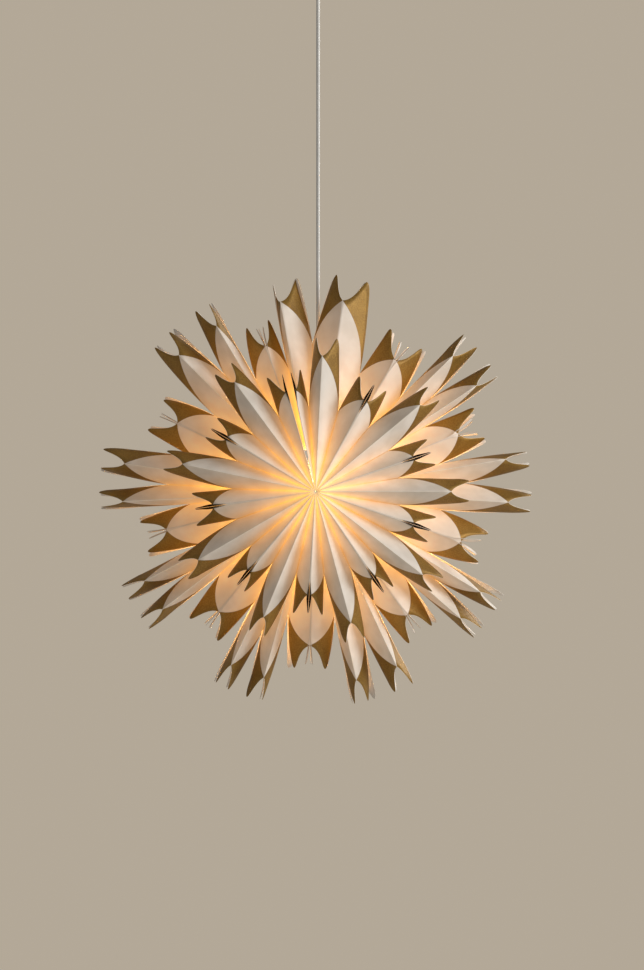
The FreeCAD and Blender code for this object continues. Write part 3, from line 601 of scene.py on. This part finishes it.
# A moulded or metal finish for a piece that keeps its CAD shape: two close tones in slow clouds,
# with a fine grain in roughness and bump.
def workedFinish(name, colour, roughness, metallic=0.0, grain=260.0, spread=0.12, depth=0.12, glow=None):
    skin = Finish(name)
    cloud, fine = skin.noise(30.0, 2.0), skin.noise(grain, 3.0)
    darker = tuple(channel * (1 - spread) for channel in colour)
    sockets = {"Base_Color": skin.mix(cloud.rise(0.3, 0.7), colour, darker),
               "Roughness": roughness + (fine - 0.5) * 0.16, "Metallic": metallic,
               "Normal": skin.bump(fine, depth)}
    if glow:
        sockets.update(Emission_Color=glow, Emission_Strength=2.5)
    return skin.done(**sockets)


whitePlastic = workedFinish("whitePlastic", (0.80, 0.79, 0.76), 0.48)
nylon = workedFinish("nylon", (0.70, 0.68, 0.62), 0.4)
zinc = workedFinish("zinc", (0.55, 0.55, 0.54), 0.38, 1.0, 420.0, 0.2, 0.2)
brass = workedFinish("brass", (0.66, 0.47, 0.18), 0.33, 1.0, 500.0, 0.2, 0.15)
threadShell = workedFinish("threadShell", (0.70, 0.70, 0.68), 0.3, 1.0, 500.0, 0.15, 0.15)
bulbWhite = workedFinish("bulbWhite", (0.78, 0.76, 0.71), 0.3)
opalGlass = workedFinish("opalGlass", (0.90, 0.80, 0.62), 0.2, 0.0, 200.0, 0.05, 0.03, (1.0, 0.62, 0.26))
cordSkin = workedFinish("cordSkin", (0.74, 0.73, 0.70), 0.36, 0.0, 900.0, 0.08, 0.10)
dressed = {
    "ceiling_bracket": zinc, "cup_screws": zinc, "ceiling_hook": zinc,
    "hanger_ring": zinc, "ceiling_cup": whitePlastic, "cord_hanger": nylon, "clamp_screw": zinc,
    "terminal_block": nylon, "holder_shell": whitePlastic, "holder_cap": whitePlastic,
    "lock_nut": whitePlastic, "cord_grip": whitePlastic, "centre_contact": brass, "hanger_bar": zinc,
    "closing_clips": zinc, "bulb_glass": opalGlass, "bulb_collar": bulbWhite, "bulb_cap": threadShell,
    "bulb_tip": brass,
}
for name, skin in dressed.items():
    piece = nodes[name]
    if piece.material_slots:
        for place in piece.material_slots:
            place.material = skin
    else:
        piece.data.materials.append(skin)
print("fittings finished")

# The cord hangs straight under its load, from the lampholder's cap up into its hanger.
cordSizes = {"low": -0.6869, "high": -0.03785, "diameter": 0.005, "points": 4, "ring": 8}
cordLine = bpy.data.curves.new("cord", "CURVE")
cordLine.dimensions = "3D"
cordLine.bevel_depth = cordSizes["diameter"] / 2
cordLine.bevel_resolution = cordSizes["ring"]
cordLine.use_fill_caps = True
spline = cordLine.splines.new("NURBS")
spline.points.add(cordSizes["points"] - 1)
heights = np.linspace(cordSizes["low"], cordSizes["high"], cordSizes["points"])
for point, height in zip(spline.points, heights):
    point.co = (0.0, 0.0, float(height), 1.0)
spline.order_u = 3
spline.use_endpoint_u = True
cord = bpy.data.objects.new("cord", cordLine)
bpy.context.scene.collection.objects.link(cord)
cordLine.materials.append(cordSkin)
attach(cord, "pendant")
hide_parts("pendant_cord")
print("cord hung")

# Stage, light and camera. The backdrop is the world's own colour, and a pale floor lies far below.
stageSizes = {"floor": -2.30, "half": 6.0, "wallColour": (0.452, 0.392, 0.312),
              "floorColour": (0.84, 0.81, 0.76), "keyPower": 64.0, "fill": 0.262, "rimPower": 22.0,
              "lampPower": 2.2, "lampAt": (0.0, -0.03, -0.79), "daylight": (1.0, 0.98, 0.95),
              "keyAt": (2.9, -1.2, 0.1), "keySize": 1.5, "rimAt": (1.8, 1.6, 0.1), "rimSize": 1.2,
              "fillColour": (1.0, 0.965, 0.92), "lampColour": (1.0, 0.62, 0.28), "lampSoft": 0.03}


def stagePlane(name, corners, colour):
    mesh = bpy.data.meshes.new(name)
    mesh.from_pydata(corners, [], [(0, 1, 2, 3)])
    plane = bpy.data.objects.new(name, mesh)
    bpy.context.scene.collection.objects.link(plane)
    skin = Finish(name + "Finish")
    cloud = skin.noise(1.2, 2.0)
    mesh.materials.append(skin.done(Roughness=0.9, Base_Color=skin.mix(cloud.rise(0.2, 0.8), colour,
                                    tuple(0.96 * channel for channel in colour))))


half, floorAt = stageSizes["half"], stageSizes["floor"]
corners = [(-half, -half, floorAt), (half, -half, floorAt), (half, half, floorAt), (-half, half, floorAt)]
stagePlane("floor", corners, stageSizes["floorColour"])

world = bpy.data.worlds.new("studio")
bpy.context.scene.world = world
world.use_nodes = True
air = world.node_tree
fillShade = air.nodes["Background"]
fillShade.inputs[0].default_value = (*stageSizes["fillColour"], 1.0)
fillShade.inputs[1].default_value = stageSizes["fill"]
seenShade = air.nodes.new("ShaderNodeBackground")
seenShade.inputs[0].default_value = (*stageSizes["wallColour"], 1.0)
seenShade.inputs[1].default_value = 1.0
rays, choice = air.nodes.new("ShaderNodeLightPath"), air.nodes.new("ShaderNodeMixShader")
air.links.new(rays.outputs["Is Camera Ray"], choice.inputs[0])
air.links.new(fillShade.outputs[0], choice.inputs[1])
air.links.new(seenShade.outputs[0], choice.inputs[2])
air.links.new(choice.outputs[0], air.nodes["World Output"].inputs[0])


def softLight(name, spot, aim, size, power, colour):
    light = bpy.data.lights.new(name, "AREA")
    light.size, light.energy, light.color = size, power, colour
    lamp = bpy.data.objects.new(name, light)
    lamp.location = spot
    lamp.rotation_euler = (Vector(aim) - Vector(spot)).to_track_quat("-Z", "Y").to_euler()
    bpy.context.scene.collection.objects.link(lamp)


for name, which in (("windowRight", "key"), ("backRight", "rim")):
    softLight(name, stageSizes[which + "At"], tuple(star), stageSizes[which + "Size"],
              stageSizes[which + "Power"], stageSizes["daylight"])

# The glow of the bulb, which moves with the lamp.
inside = bpy.data.lights.new("lampInside", "POINT")
inside.energy, inside.color = stageSizes["lampPower"], stageSizes["lampColour"]
inside.shadow_soft_size = stageSizes["lampSoft"]
insideLamp = bpy.data.objects.new("lampInside", inside)
insideLamp.location = stageSizes["lampAt"]
bpy.context.scene.collection.objects.link(insideLamp)
bpy.context.view_layer.update()
insideLamp.parent = nodes["holder_shell"]
insideLamp.matrix_parent_inverse = nodes["holder_shell"].matrix_world.inverted()

view = {"sensor": 36.0, "clipEnd": 100.0, "distance": 8.0, "field": 1.358, "aim": (0.0056, 0.0, -0.7559)}
eye = bpy.data.cameras.new("camera")
eye.sensor_fit, eye.sensor_height = "VERTICAL", view["sensor"]
eye.lens = eye.sensor_height * view["distance"] / view["field"]
eye.clip_end = view["clipEnd"]
camera = bpy.data.objects.new("camera", eye)
camera.location = (view["aim"][0], -view["distance"], view["aim"][2])
camera.rotation_euler = (math.pi / 2, 0.0, 0.0)
bpy.context.scene.collection.objects.link(camera)
bpy.context.scene.camera = camera
bpy.context.scene.view_settings.view_transform = "Standard"

print("scene ready")
